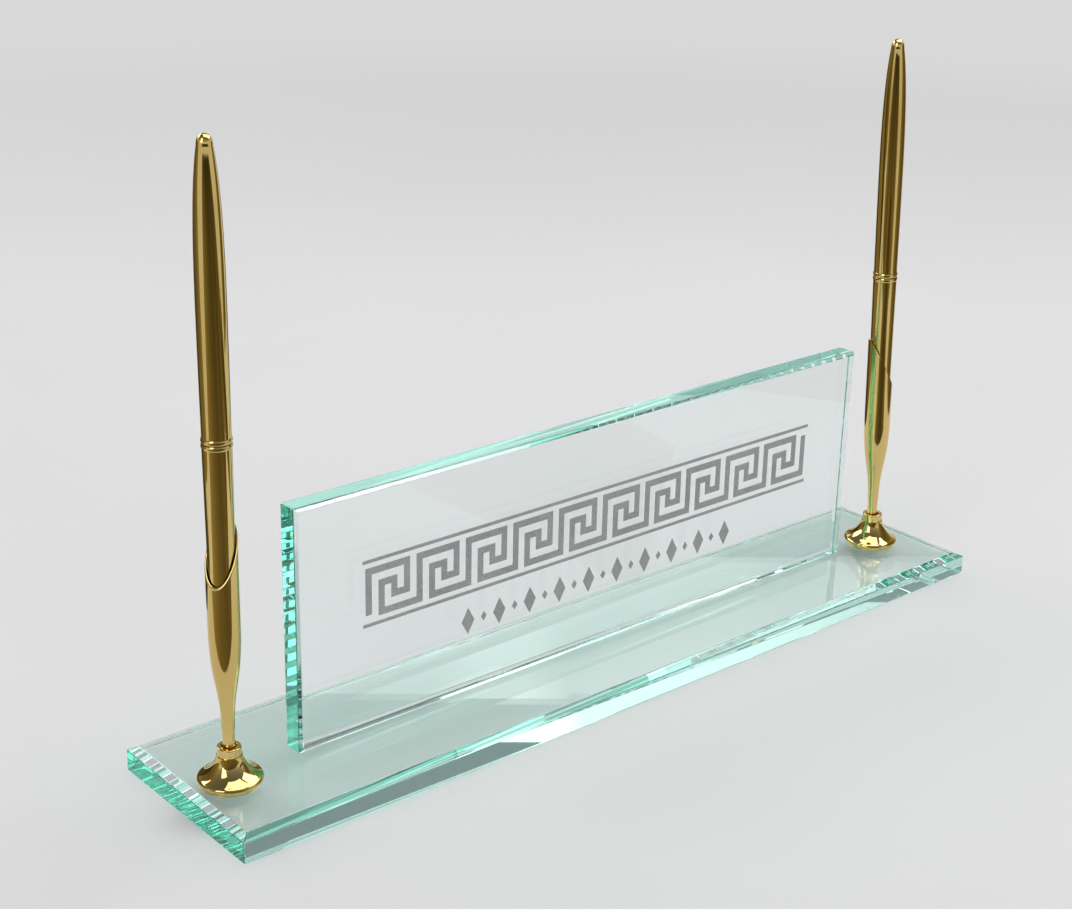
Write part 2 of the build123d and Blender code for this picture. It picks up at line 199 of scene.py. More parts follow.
# %% Moulded plastics
def moulded(name, deep, pale, rough, grain):
    """Plastic with a mottled colour and a fine moulded grain."""
    sheet = finish_named(name)
    colour = sheet.blend(deep, pale, sheet.noise(grain * 0.2))
    fine = sheet.noise(grain, 4.0)
    grainy = sheet.node("Bump", {}, {"Strength": 0.15, "Distance": 0.00005, "Height": fine})
    body = sheet.node(
        "BsdfPrincipled",
        {},
        {"Base Color": colour, "Roughness": rough + 0.1 * fine, "Normal": grainy},
    )
    sheet.node("OutputMaterial", {}, {"Surface": body})
    return sheet.owner


NYLON_DEEP, NYLON_PALE = (0.66, 0.65, 0.61), (0.74, 0.73, 0.69)
INK_DEEP, INK_PALE = (0.03, 0.05, 0.16), (0.05, 0.07, 0.22)
FINISHES["nylon"] = moulded("white_nylon", NYLON_DEEP, NYLON_PALE, 0.45, 2500.0)
FINISHES["refill_plastic"] = moulded("ink_tube", INK_DEEP, INK_PALE, 0.2, 2500.0)
print("finishes:", *FINISHES)

# %% [markdown]
# Clear adhesive holds the upright and the bells. It is a cured film with a faint haze and pinhead
# bubbles, so it takes light a little differently from the glass round it. The frosting on the face
# is sandblasted: matt, mid-grey and finely grained, and a little of what is behind shows through.

# %% Adhesive and frosting
BLACK, WHITE = (0.0, 0.0, 0.0), (1.0, 1.0, 1.0)
FROST_DEEP, FROST_PALE = (0.30, 0.31, 0.31), (0.50, 0.51, 0.51)


def clear_adhesive():
    """Clear film: mostly see-through, hazier where a bubble cell is."""
    sheet = finish_named("clear_adhesive")
    place = sheet.node("TexCoord", output="Object")
    cell = sheet.node("TexVoronoi", {}, {"Vector": place, "Scale": 700.0}, output="Distance")
    haze = sheet.node("ValToRGB", {"stops": ((0.0, WHITE), (0.3, BLACK))}, {0: cell})
    body = sheet.node(
        "BsdfPrincipled",
        {},
        {
            "Base Color": (0.80, 0.88, 0.86, 1.0),
            "Roughness": 0.12 + 0.3 * haze,
            "Alpha": 0.18 + 0.35 * haze,
        },
    )
    sheet.node("OutputMaterial", {}, {"Surface": body})
    return sheet.owner


def frosting():
    """Sandblasted glass: matt and grained, thinner in the pits of the grain."""
    sheet = finish_named("frosting")
    grain = sheet.noise(3800.0, 3.0)
    cloud = sheet.noise(90.0, 3.0)
    tones = ((0.35, FROST_DEEP), (0.65, FROST_PALE))
    colour = sheet.node("ValToRGB", {"stops": tones}, {0: 0.75 * grain + 0.25 * cloud})
    pitted = sheet.node("Bump", {}, {"Strength": 0.4, "Distance": 0.00003, "Height": grain})
    body = sheet.node(
        "BsdfPrincipled",
        {},
        {"Base Color": colour, "Roughness": 0.75, "Alpha": 0.72 + 0.3 * grain, "Normal": pitted},
    )
    sheet.node("OutputMaterial", {}, {"Surface": body})
    return sheet.owner


FINISHES["clear_adhesive"] = clear_adhesive()
frosted = frosting()
print("finishes:", *FINISHES, frosted.name)

# %% [markdown]
# Every piece below is one grid of points worked out with numpy: rows run along a profile, columns
# run round it. One helper turns such a grid into a closed mesh, so that the pieces differ only in
# their formulas. Edges sharper than a set angle stay crisp, and the rest is shaded smooth.

# %% From a grid of points to a mesh
CRISP_ANGLE = 32.0


def put(name, points, slot, body, nodes, loop=False, flat=False, finish=None):
    """Makes a piece of a grid of points, rows by columns, in millimetres.

    The columns always close on themselves. The rows close too for a loop. Otherwise the first and
    the last row are poles, or on a flat-sided piece each of them becomes one flat face.
    """
    rows, columns = points.shape[:2]
    corner = np.arange(rows * columns).reshape(rows, columns)
    upper = np.roll(corner, -1, axis=0) if loop else corner[1:]
    lower = corner if loop else corner[:-1]
    quads = np.stack([lower, np.roll(lower, -1, 1), np.roll(upper, -1, 1), upper], axis=-1)
    faces = quads.reshape(-1, 4).tolist()
    if flat:
        faces.append(corner[0][::-1].tolist())
        faces.append(corner[-1].tolist())
    mesh = bpy.data.meshes.new(name)
    mesh.from_pydata((points.reshape(-1, 3) * MM).tolist(), [], faces)
    close_poles(mesh)
    mesh.polygons.foreach_set("use_smooth", np.full(len(mesh.polygons), not flat))
    if not flat:
        mesh.set_sharp_from_angle(angle=np.radians(CRISP_ANGLE))
    mesh.materials.append(finish or FINISHES[slot])
    piece = bpy.data.objects.new(name, mesh)
    scene.collection.objects.link(piece)
    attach(piece, body)
    if nodes:
        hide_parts(*nodes)


def close_poles(mesh):
    """Melts points that fall together, so that a pole is one point with a fan of triangles."""
    shell = bmesh.new()
    shell.from_mesh(mesh)
    bmesh.ops.remove_doubles(shell, verts=shell.verts, dist=1e-8)
    bmesh.ops.dissolve_degenerate(shell, edges=shell.edges, dist=1e-9)
    shell.to_mesh(mesh)
    shell.free()


print("grids: ready")

# %% [markdown]
# Three kinds of line make all the profiles: a Bezier curve for a long flare, an arc for a rolled
# rim, and a run of straight legs with its corners eased for what a cutter leaves. Each is a short
# formula, so a profile can be read off a drawing and typed in.


# %% Lines for the profiles
def bezier(*handles, steps=24):
    """Bezier curve from the first handle to the last: the sum of handles times Bernstein shares."""
    t = np.linspace(0.0, 1.0, steps)[:, None, None]
    points = np.array(handles, float)[None].repeat(steps, 0)
    while points.shape[1] > 1:
        points = points[:, :-1] * (1 - t) + points[:, 1:] * t
    return points[:, 0]


def arc(start, middle, end, steps=12):
    """Circle arc through three points: it turns about their centre from the first to the last."""
    a, b, c = (np.array(p, float) for p in (start, middle, end))
    sides = 2 * np.array([b - a, c - a])
    centre = np.linalg.solve(sides, [b @ b - a @ a, c @ c - a @ a])
    turn = np.unwrap([np.arctan2(*(p - centre)[::-1]) for p in (a, b, c)])
    angle = np.interp(np.linspace(0, 2, steps), [0, 1, 2], turn)
    return centre + np.hypot(*(a - centre)) * np.stack([np.cos(angle), np.sin(angle)], 1)


def softened(corners, radius, steps=4):
    """Eases each inner corner of a line by a quadratic curve that leaves the legs a radius away."""
    here = np.array(corners, float)
    back = np.roll(here, 1, 0) - here
    ahead = np.roll(here, -1, 0) - here
    back_length = np.linalg.norm(back, axis=1, keepdims=True)
    ahead_length = np.linalg.norm(ahead, axis=1, keepdims=True)
    start = here + back / back_length * np.minimum(radius, back_length * 0.45)
    end = here + ahead / ahead_length * np.minimum(radius, ahead_length * 0.45)
    t = np.linspace(0.0, 1.0, steps)[None, :, None]
    curve = start[:, None] * (1 - t) ** 2 + 2 * here[:, None] * t * (1 - t) + end[:, None] * t**2
    return np.concatenate([here[:1], curve[1:-1].reshape(-1, 2), here[-1:]])


print("lines: curve, arc and eased corners")

# %% [markdown]
# Each glass slab is a rectangle carried up through a profile: at every level the rectangle is
# pulled in by the bevel and set at that height. Real polished edges are never knife sharp, so the
# profile's corners are eased by a few tenths, and it is those eased corners that draw the bright
# lines along the glass. The upright is made lying down, and then stood up.

# %% The two glass slabs
CORNER = 0.3
CORNER_STEPS = 4


def slab(half_long, half_wide, profile):
    """Slab: at each level a rectangle, less the level's inset, with its corners rounded.

    P(level, a) = (+-(half_long - inset - corner) + corner cos a, the same with sin a, height).
    """
    inset, height = np.array(profile).T[..., None]
    quarter = np.linspace(0, np.pi / 2, CORNER_STEPS)
    angle = np.concatenate([quarter + turn * np.pi / 2 for turn in range(4)])
    side_x = np.repeat([1, -1, -1, 1], CORNER_STEPS)
    side_y = np.repeat([1, 1, -1, -1], CORNER_STEPS)
    x = side_x * (half_long - inset - CORNER) + CORNER * np.cos(angle)
    y = side_y * (half_wide - inset - CORNER) + CORNER * np.sin(angle)
    return np.stack([x, y, height + 0 * x], axis=-1)


# Each corner of a slab's profile: how far in from the edge, and how high.
BASE_LONG, BASE_WIDE, BASE_TOP = 300.0, 62.0, 8.0
BEVEL_IN, BEVEL_DROP, ARRIS, BASE_EASE = 2.8, 1.2, 0.4, 0.22
base_corners = [
    (3.0, 0.0),
    (ARRIS, 0.0),
    (0.0, ARRIS),
    (0.0, BASE_TOP - BEVEL_DROP),
    (BEVEL_IN, BASE_TOP),
    (5.0, BASE_TOP),
]
base_points = slab(BASE_LONG / 2, BASE_WIDE / 2, softened(base_corners, BASE_EASE))
put("base_slab", base_points, "jade_glass", "stand", ["base_plate"], flat=True)

PLATE_LONG, PLATE_TALL, PLATE_HALF = 228.0, 75.0, 4.0
CHAMFER, PLATE_EASE, PLATE_FOOT = 1.0, 0.2, 8.1
plate_corners = [
    (3.0, -PLATE_HALF),
    (CHAMFER, -PLATE_HALF),
    (0.0, CHAMFER - PLATE_HALF),
    (0.0, PLATE_HALF - CHAMFER),
    (CHAMFER, PLATE_HALF),
    (3.0, PLATE_HALF),
]
lying = slab(PLATE_LONG / 2, PLATE_TALL / 2, softened(plate_corners, PLATE_EASE))
along, tall, through = np.moveaxis(lying, -1, 0)
plate_points = np.stack([along, -through, tall + PLATE_TALL / 2 + PLATE_FOOT], axis=-1)
put("upright_slab", plate_points, "jade_glass", "stand", ["upright_plate"], flat=True)
print("glass: base and upright")

# %% [markdown]
# The film under the upright is thinner than a hair. It is drawn a little thinner still, so that no
# two clear faces lie in the same plane, where a ray could not tell which it met first. The pads
# under the bells are turned on a lathe: a profile in radius and height, carried round an axis. The
# pens and their holders are made in the same way, so the axis can lean.

# %% Bond film and pads
FILM_LOW, FILM_HIGH, PAD_HIGH = 8.02, 8.08, 8.28
FILM_HALF_LONG, FILM_HALF_WIDE, PAD_RADIUS = 113.8, 2.9, 7.8
film_levels = [(2.0, FILM_LOW), (0.0, FILM_LOW), (0.0, FILM_HIGH), (2.0, FILM_HIGH)]
film_points = slab(FILM_HALF_LONG, FILM_HALF_WIDE, film_levels)
put("bond_film", film_points, "clear_adhesive", "stand", ["plate_bond"], flat=True)

AROUND = np.linspace(0, 2 * np.pi, 128, endpoint=False)


def leaning(lean):
    """Axis of a piece that leans, in degrees, and the ring of unit arrows round that axis."""
    tilt = np.radians(lean)
    axis = np.array([np.sin(tilt), 0.0, np.cos(tilt)])
    across = np.array([np.cos(tilt), 0.0, -np.sin(tilt)])
    away = np.array([0.0, 1.0, 0.0])
    return axis, across * np.cos(AROUND)[:, None] + away * np.sin(AROUND)[:, None]


def turned(profile, centre, lean=0.0):
    """Lathe: P(s, a) = centre + axis height(s) + radius(s) ring(a)."""
    axis, ring = leaning(lean)
    radius, height = np.array(profile).T[..., None, None]
    return np.array(centre) + axis * height + radius * ring


# For each side: the holder's place along the base, its lean, and the way its mouth faces.
HOLDERS = {"left": (-137.5, 0.0, 30.0), "right": (130.0, -3.0, 150.0)}
HOLDER_Y = -4.5
pad_profile = [(0.0, FILM_LOW), (PAD_RADIUS, FILM_LOW), (PAD_RADIUS, PAD_HIGH), (0.0, PAD_HIGH)]
for side, (x, _, _) in HOLDERS.items():
    pad = turned(pad_profile, (x, HOLDER_Y, 0.0))
    put(f"{side}_pad", pad, "clear_adhesive", "stand", [f"{side}_bell_pad"])
print("adhesive: one film, two pads")

# %% [markdown]
# The bell is turned from bar: a stepped foot, a rolled rim and a hollow flare up to the neck. Its
# profile is written once, in radius and height. The collar on top holds the ball in, and its mouth
# is coned so that the stem can lean.

# %% Bells, collars and studs
BELL_FOOT = 8.3
BALL = 16.6
BALL_RADIUS = 2.6
bell_profile = np.concatenate(
    [
        softened([(7.32, 0.0), (8.3, 0.0), (8.3, 0.7), (8.7, 0.7)], 0.12),
        arc((8.7, 0.7), (9.25, 1.65), (8.7, 2.6), 16)[1:],
        arc((8.7, 2.6), (5.395, 5.125), (3.65, 8.9), 32)[1:],
        softened(
            [(3.65, 8.9), (2.7, 8.9), (2.7, 5.7), (6.5, 1.6), (6.5, 1.0), (7.32, 1.0)], 0.05
        )[1:],
    ]
)
collar_profile = np.concatenate(
    [
        [(3.4, 0.6)],
        arc((3.4, 2.9), (3.312, 3.112), (3.1, 3.2), 8),
        softened([(3.1, 3.2), (2.247, 3.2), (2.036, 1.70)], 0.08)[1:],
        arc((2.036, 1.70), (2.39, 1.15), (2.581, 0.6), 8)[1:],
    ]
)
stud_profile = np.concatenate(
    [
        arc((0.0, -BALL_RADIUS), (BALL_RADIUS, 0.0), (1.7, 1.967), 40),
        [(1.7, 8.4), (1.1, 8.4), (1.1, 12.4), (0.0, 12.4)],
    ]
)
for side, (x, lean, _) in HOLDERS.items():
    flare = turned(bell_profile, (x, HOLDER_Y, BELL_FOOT))
    collar = turned(collar_profile, (x, HOLDER_Y, BALL))
    stem = turned(stud_profile, (x, HOLDER_Y, BALL), lean)
    put(f"{side}_bell_flare", flare, "polished_gold", "stand", [f"{side}_bell"], loop=True)
    put(f"{side}_neck_collar", collar, "polished_gold", "stand", [f"{side}_collar"], loop=True)
    put(f"{side}_stem", stem, "polished_gold", f"{side}_holder", [f"{side}_ball_stud"])
print("bells:", len(bell_profile), "points in the profile")

# %% [markdown]
# The funnel is drawn from tube: a thin wall, a long flare and a mouth cut on a steep slant. Below
# the slant it is a lathe. Above it each column of points ends at its own height, where the slanted
# plane meets that side of the wall, so the grid leans into the cut and the lip stays thin and
# even.

# %% Funnels
FUNNEL_OUT, FUNNEL_IN = 4.455, 4.055
FLARE_FOOT, FLARE_TOP, BORE_TOP = 8.4, 40.0, 50.0
MOUTH_MIDDLE, MOUTH_RISE = 60.625, 17.75
LIP_ROUND = 0.12


def slant(radius, mouth):
    """Height of the slanted cut on a wall of that radius: middle + slope radius cos(a - turn)."""
    slope = MOUTH_RISE / (2 * FUNNEL_OUT)
    return MOUTH_MIDDLE + slope * radius * np.cos(AROUND - np.radians(mouth))


def funnel_grid(centre, lean, mouth):
    """Funnel wall: lathe rows up the flare, leaning rows to the cut, the lip, and down the bore.

    On a leaning row the height runs from level to the cut: h = level + (cut - level) t.
    """
    flare = bezier(
        (1.85, FLARE_FOOT), (1.85, 22.0), (FUNNEL_OUT, 22.0), (FUNNEL_OUT, FLARE_TOP), steps=60
    )
    bore = bezier((FUNNEL_IN, BORE_TOP), (FUNNEL_IN, 39.0), (2.75, 30.0), (1.55, 24.0), steps=40)
    inside = np.concatenate([bore[1:], [(1.55, 19.0), (0.0, 19.0)]])
    rise = np.linspace(0.0, 1.0, 26)[1:, None]
    roll = np.linspace(0.0, np.pi, 9)[1:-1, None]
    lip = (FUNNEL_OUT + FUNNEL_IN) / 2 + (FUNNEL_OUT - FUNNEL_IN) / 2 * np.cos(roll)
    outer_cut = slant(FUNNEL_OUT, mouth) - LIP_ROUND
    inner_cut = slant(FUNNEL_IN, mouth) - LIP_ROUND
    rows = (
        (np.zeros((1, 1)), np.full((1, 1), FLARE_FOOT)),
        (flare[:, :1], flare[:, 1:]),
        (np.full_like(rise, FUNNEL_OUT), FLARE_TOP + (outer_cut - FLARE_TOP) * rise),
        (lip, slant(lip, mouth) - LIP_ROUND + LIP_ROUND * np.sin(roll)),
        (np.full_like(rise, FUNNEL_IN), inner_cut + (BORE_TOP - inner_cut) * rise),
        (inside[:, :1], inside[:, 1:]),
    )
    wide = np.ones_like(AROUND)
    radius = np.concatenate([wall * wide for wall, _ in rows])[..., None]
    height = np.concatenate([level * wide for _, level in rows])[..., None]
    axis, ring = leaning(lean)
    return np.array(centre) + axis * height + radius * ring


for side, (x, lean, mouth) in HOLDERS.items():
    wall = funnel_grid((x, HOLDER_Y, BALL), lean, mouth)
    put(f"{side}_funnel_tube", wall, "polished_gold", f"{side}_holder", [f"{side}_funnel"])
print("funnels:", wall.shape[0], "rows by", wall.shape[1])

# %% [markdown]
# The pen twists at the two rings in its middle. Its lower half is a tapered tube with a pointed
# nose, its upper half swells a little and runs out to a slender tail, which a domed finial closes.
# All of them are lathes again, with the bores in their profiles, so that a lifted pen shows the
# point in its hole. Heights count from the centre of the ball.

# %% Pen profiles
WAIST, SHOULDER = 3.95, 3.65
LOWER_TOP, UPPER_FOOT = 90.5, 93.4
TAIL, TAIL_TOP = 2.15, 168.9
SPIGOT_FOOT = 165.9
RING_WIDE, RING_CROWN = 1.3, 0.2
LOWER_BORE, UPPER_BORE = 3.27, 3.3
shoulder_to_waist = np.linspace((SHOULDER, 50.0), (WAIST, LOWER_TOP), 11)
lower_profile = np.concatenate(
    [
        bezier((1.2, 24.0), (2.4, 30.0), (SHOULDER, 39.0), (SHOULDER, 50.0), steps=48),
        shoulder_to_waist[1:],
        [(LOWER_BORE, LOWER_TOP), (LOWER_BORE, 77.95), (2.2, 77.95), (2.2, 42.0)],
        [(1.7, 42.0), (1.7, 29.5), (0.75, 27.5), (0.75, 24.0)],
    ]
)
upper_profile = np.concatenate(
    [
        [(0.0, 146.95), (2.7, 146.95), (2.7, 110.95)],
        [(UPPER_BORE, 110.95), (UPPER_BORE, UPPER_FOOT)],
        bezier((3.875, UPPER_FOOT), (4.0, 110.9), (4.0, 128.4), steps=16),
        bezier((4.0, 128.4), (4.0, 150.4), (3.3, 161.4), (TAIL, TAIL_TOP), steps=40)[1:],
        [(1.22, TAIL_TOP), (1.22, SPIGOT_FOOT), (0.0, SPIGOT_FOOT)],
    ]
)
finial_profile = np.concatenate(
    [
        [(0.0, SPIGOT_FOOT), (1.2, SPIGOT_FOOT), (1.2, TAIL_TOP)],
        bezier((TAIL, TAIL_TOP), (TAIL, 171.1), (1.075, 171.9), (0.0, 171.9), steps=24),
    ]
)


def ring_profile(foot, bore):
    """Crowned ring: an arc outside, a straight bore inside."""
    top = foot + RING_WIDE
    crown = arc((WAIST, foot), (WAIST + RING_CROWN, foot + RING_WIDE / 2), (WAIST, top), 12)
    return np.concatenate([crown, [(bore, top), (bore, foot)]])


lower_ring = ring_profile(LOWER_TOP, LOWER_BORE)
upper_ring = ring_profile(UPPER_FOOT - RING_WIDE, UPPER_BORE)
print("pens:", len(lower_profile), "points below,", len(upper_profile), "above")

# %% [markdown]
# A row for each turned piece says which half of the pen carries it, which CAD node it stands for,
# and whether its profile closes on itself, as a tube's does, or starts and ends on the axis.

# %% Pens
PEN = (
    ("lower_tube", lower_profile, "pen", "lower_barrel", True),
    ("fixed_ring", lower_ring, "pen", "lower_ring", True),
    ("turning_ring", upper_ring, "pen_top", "upper_ring", True),
    ("upper_tube", upper_profile, "pen_top", "upper_barrel", False),
    ("tail_dome", finial_profile, "pen_top", "finial", False),
)
for side, (x, lean, _) in HOLDERS.items():
    for piece, profile, body, node, loop in PEN:
        grid = turned(profile, (x, HOLDER_Y, BALL), lean)
        nodes = [f"{side}_{node}"]
        put(f"{side}_{piece}", grid, "polished_gold", f"{side}_{body}", nodes, loop=loop)
print("pens:", len(PEN), "turned pieces each")

# %% [markdown]
# The pieces inside keep their CAD shapes, because the shapes are right: the disc, spring and cup
# in the bell, and the screw, plunger and refill in the pen. Each gets the finish of its stuff.

# %% Finishes for the pieces inside
INSIDE = {
    "closing_disc": "steel",
    "spring_washer": "steel",
    "friction_cup": "nylon",
    "twist_sleeve": "plain_brass",
    "drive_screw": "steel",
    "plunger": "nylon",
    "refill_tube": "refill_plastic",
    "refill_tip": "plain_brass",
}
for side in HOLDERS:
    for node, slot in INSIDE.items():
        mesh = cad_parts[f"{side}_{node}"].data
        mesh.materials.clear()
        mesh.materials.append(FINISHES[slot])
print("inside:", len(HOLDERS) * len(INSIDE), "CAD nodes dressed")

# %% [markdown]
# The face carries a frosted ornament in two rows: a running key between two rules, and a row of
# lozenges under it. The key is a single line that winds in and out again. A ribbon is carried
# along that line, with mitred corners, and stands proud of the glass by the depth of the frosting.

# %% Frosted key and rules
FROST_GAP, FROST_DEPTH = 0.012, 0.03
FROST_FAR = -PLATE_HALF - FROST_GAP
FROST_NEAR = FROST_FAR - FROST_DEPTH


def ribbon(line, width):
    """Flat ribbon along a line in the face: each corner is offset both ways along its mitre.

    The mitre is (n1 + n2) / (1 + n1 . n2), with n1 and n2 the normals of the two legs.
    """
    line = np.array(line, float)
    leg = np.diff(line, axis=0)
    leg /= np.linalg.norm(leg, axis=1, keepdims=True)
    normal = np.stack([-leg[:, 1], leg[:, 0]], 1)
    before = np.concatenate([normal[:1], normal])
    after = np.concatenate([normal, normal[-1:]])
    mitre = (before + after) / (1 + np.sum(before * after, 1, keepdims=True))
    left = line + mitre * width / 2
    right = line - mitre * width / 2
    edges = [(left, FROST_NEAR), (right, FROST_NEAR), (right, FROST_FAR), (left, FROST_FAR)]
    return np.stack([np.stack([p[:, 0], 0 * p[:, 0] + y, p[:, 1]], -1) for p, y in edges], 1)


def frost(name, points):
    """A flat frosted figure that rides with the upright's glass."""
    put(name, points, "jade_glass", "stand", [], flat=True, finish=frosted)


KEY_STEP, KEY_PITCH, KEY_TURNS = 4.5, 4.0, 10
KEY_FOOT, KEY_WIDTH = 44.75, 2.2
RULE_REACH, RULE_WIDTH = 92.0, 1.1
key_unit = np.array([(0, 0), (0, 3), (3, 3), (3, 1), (2, 1), (2, 2), (1, 2), (1, 0)], float)
key_shift = np.arange(KEY_TURNS)[:, None, None] * np.array([KEY_PITCH, 0.0])
key_end = [(KEY_PITCH * KEY_TURNS, 0), (KEY_PITCH * KEY_TURNS, 3)]
key_line = np.concatenate([(key_unit + key_shift).reshape(-1, 2), key_end])
key_place = np.array([-KEY_PITCH / 2 * KEY_TURNS * KEY_STEP, KEY_FOOT])
frost("frost_key", ribbon(key_line * KEY_STEP + key_place, KEY_WIDTH))
for label, level in (("upper", 61.4), ("lower", 41.6)):
    rule = [(-RULE_REACH, level), (RULE_REACH, level)]
    frost(f"frost_rule_{label}", ribbon(rule, RULE_WIDTH))
print("ornament:", KEY_TURNS, "key turns and two rules")

# %% [markdown]
# The lozenges take turns, one large and one small. Each is a square stood on its corner and pulled
# to its own width and height, so two numbers make it.

# %% Frosted lozenges
LOZENGES = 19
LOZENGE_REACH, LOZENGE_LEVEL = 54.0, 32.1
LARGE, SMALL = np.array([2.4, 4.4]), np.array([1.1, 1.6])
diamond = np.array([(0, -1), (1, 0), (0, 1), (-1, 0)])
for index, x in enumerate(np.linspace(-LOZENGE_REACH, LOZENGE_REACH, LOZENGES)):
    half = LARGE if index % 2 == 0 else SMALL
    across, up = (diamond * half + np.array([x, LOZENGE_LEVEL])).T
    layers = [np.stack([across, np.full(4, y), up], -1) for y in (FROST_FAR, FROST_NEAR)]
    frost(f"frost_lozenge_{index + 1}", np.stack(layers))
print("ornament:", LOZENGES, "lozenges")

# %% [markdown]
# The studio is plain: a pale matt floor that runs out to a pale horizon. Near the object the lamps
# light it, so it takes the shadow. Further out it fades into an even tone that only the eye sees,
# straight or by way of gold and glass, because lamps close to the object can't light metres of
# floor evenly.

# %% Floor
PALE = (0.69, 0.69, 0.69)
FLOOR_DEEP, FLOOR_PALE = (0.70, 0.70, 0.70), (0.73, 0.73, 0.73)
FLOOR_REACH, FLOOR_LEVEL = 5.0, -0.0004
FADE_FROM, FADE_TO = 0.45, 1.3


def looked_at(sheet):
    """1 for a ray of the eye, straight or by way of gold or glass, and 0 for a ray of the light."""
    straight = sheet.node("LightPath", output="Is Camera Ray")
    by_gold = sheet.node("LightPath", output="Is Glossy Ray")
    by_glass = sheet.node("LightPath", output="Is Transmission Ray")
    return (straight + by_gold + by_glass).math("MINIMUM", 1.0)


def pale_floor():
    """Matt pale floor with a trace of mottle, fading to an even tone between two distances."""
    sheet = finish_named("pale_floor")
    colour = sheet.blend(FLOOR_DEEP, FLOOR_PALE, sheet.noise(3.0, 3.0))
    lit = sheet.node("BsdfPrincipled", {}, {"Base Color": colour, "Specular IOR Level": 0.0})
    even = sheet.node("Emission", {}, {"Color": (*PALE, 1.0), "Strength": 1.0})
    place = sheet.node("TexCoord", output="Object")
    away = sheet.node("VectorMath", {"operation": "LENGTH"}, {0: place}, output="Value")
    fade = sheet.node(
        "MapRange",
        {"interpolation_type": "SMOOTHSTEP"},
        {"Value": away, "From Min": FADE_FROM, "From Max": FADE_TO},
    )
    both = sheet.node("MixShader", {}, {0: fade * looked_at(sheet), 1: lit, 2: even})
    sheet.node("OutputMaterial", {}, {"Surface": both})
    return sheet.owner


square = [(-FLOOR_REACH, -FLOOR_REACH), (FLOOR_REACH, -FLOOR_REACH)]
square += [(FLOOR_REACH, FLOOR_REACH), (-FLOOR_REACH, FLOOR_REACH)]
floor_mesh = bpy.data.meshes.new("floor")
floor_mesh.from_pydata([(x, y, FLOOR_LEVEL) for x, y in square], [], [(0, 1, 2, 3)])
floor_mesh.materials.append(pale_floor())
floor = bpy.data.objects.new("floor", floor_mesh)
scene.collection.objects.link(floor)
print("floor:", 2 * FLOOR_REACH, "metres square")

# %% [markdown]
# Polished metal and glass look like what is round them, so a product studio hangs cards round the
# object. One function makes them all: a sheet between two edges, with its tones stored on its
# points. The eye, the lamps and the floor don't see the cards. Only gold and glass do, some by
# what they mirror and some by what they let through.


# %% How a card is hung
WHITE_CARD, BROWN_CARD = (1.0, 1.0, 1.0), (1.0, 0.80, 0.36)


def card(name, start, end, tones, seen_by, tint=WHITE_CARD, fall=1.0):
    """A card between two edges: P(u, v) = start(v) + (end(v) - start(v)) u.

    The tone runs along u, and towards the top of the card it goes down to its fall.
    """
    u = np.linspace(0.0, 1.0, len(tones))[:, None, None]
    points = np.array(start) * (1 - u) + np.array(end) * u
    first = 2 * np.arange(len(tones) - 1)
    faces = np.stack([first, first + 2, first + 3, first + 1], 1)
    mesh = bpy.data.meshes.new(name)
    mesh.from_pydata(points.reshape(-1, 3).tolist(), [], faces.tolist())
    shades = np.multiply.outer(np.multiply.outer(tones, (1.0, fall)), (*tint, 1.0))
    tone = mesh.attributes.new("tone", "FLOAT_COLOR", "POINT")
    tone.data.foreach_set("color", shades.astype(np.float32).ravel())
    sheet = finish_named(name)
    shade = sheet.node("Attribute", {"attribute_name": "tone"}, output="Color")
    glow = sheet.node("Emission", {}, {"Color": shade, "Strength": 1.0})
    sheet.node("OutputMaterial", {}, {"Surface": glow})
    mesh.materials.append(sheet.owner)
    hung = bpy.data.objects.new(name, mesh)
    scene.collection.objects.link(hung)
    hung.visible_camera = False
    hung.visible_diffuse = False
    hung.visible_shadow = False
    hung.visible_glossy = "glossy" in seen_by
    hung.visible_transmission = "transmission" in seen_by


CAMERA_FOOT = (-0.378, -0.409)
AHEAD_X, AHEAD_Y = 0.6529, 0.7574


def ground(ahead, right, up):
    """A point counted from under the camera: ahead along its view, to its right, and up."""
    return (
        CAMERA_FOOT[0] + AHEAD_X * ahead + AHEAD_Y * right,
        CAMERA_FOOT[1] + AHEAD_Y * ahead - AHEAD_X * right,
        up,
    )


def beyond(azimuth, aside, up, reach=1.0):
    """A point at a reach from the middle of the plate along an azimuth, moved aside and up."""
    turn = np.radians(azimuth)
    return (
        reach * np.cos(turn) + aside * np.sin(turn),
        reach * np.sin(turn) - aside * np.cos(turn),
        up,
    )


print("cards: ready to hang")

# %% [markdown]
# Gold on a pale floor would go flat. Brown cards stand low round the object, and the gold mirrors
# them as the dark core along its pens and funnels. Their tones rise towards the ends, so that the
# core has soft sides, and the tint keeps the core a deep gold and not a grey.

# %% Brown cards for the gold
card(
    "front_card",
    (ground(0.41, -0.22, 0.002), ground(0.10, -0.22, 0.20)),
    (ground(0.41, 0.36, 0.002), ground(0.10, 0.36, 0.20)),
    (0.40, 0.27, 0.18, 0.13, 0.17, 0.11, 0.20, 0.13, 0.22, 0.36),
    ("glossy",),
    BROWN_CARD,
    fall=0.25,
)
card(
    "left_card",
    (ground(0.38, -0.32, 0.002), ground(0.38, -0.32, 0.22)),
    (ground(0.75, -0.30, 0.002), ground(0.75, -0.30, 0.22)),
    (0.34, 0.2, 0.13, 0.18, 0.34),
    ("glossy",),
    BROWN_CARD,
)
card(
    "right_card",
    (ground(0.55, 0.30, 0.002), ground(0.55, 0.30, 0.22)),
    (ground(0.80, 0.26, 0.002), ground(0.80, 0.26, 0.22)),
    (0.34, 0.18, 0.11, 0.16, 0.34),
    ("glossy",),
    BROWN_CARD,
)
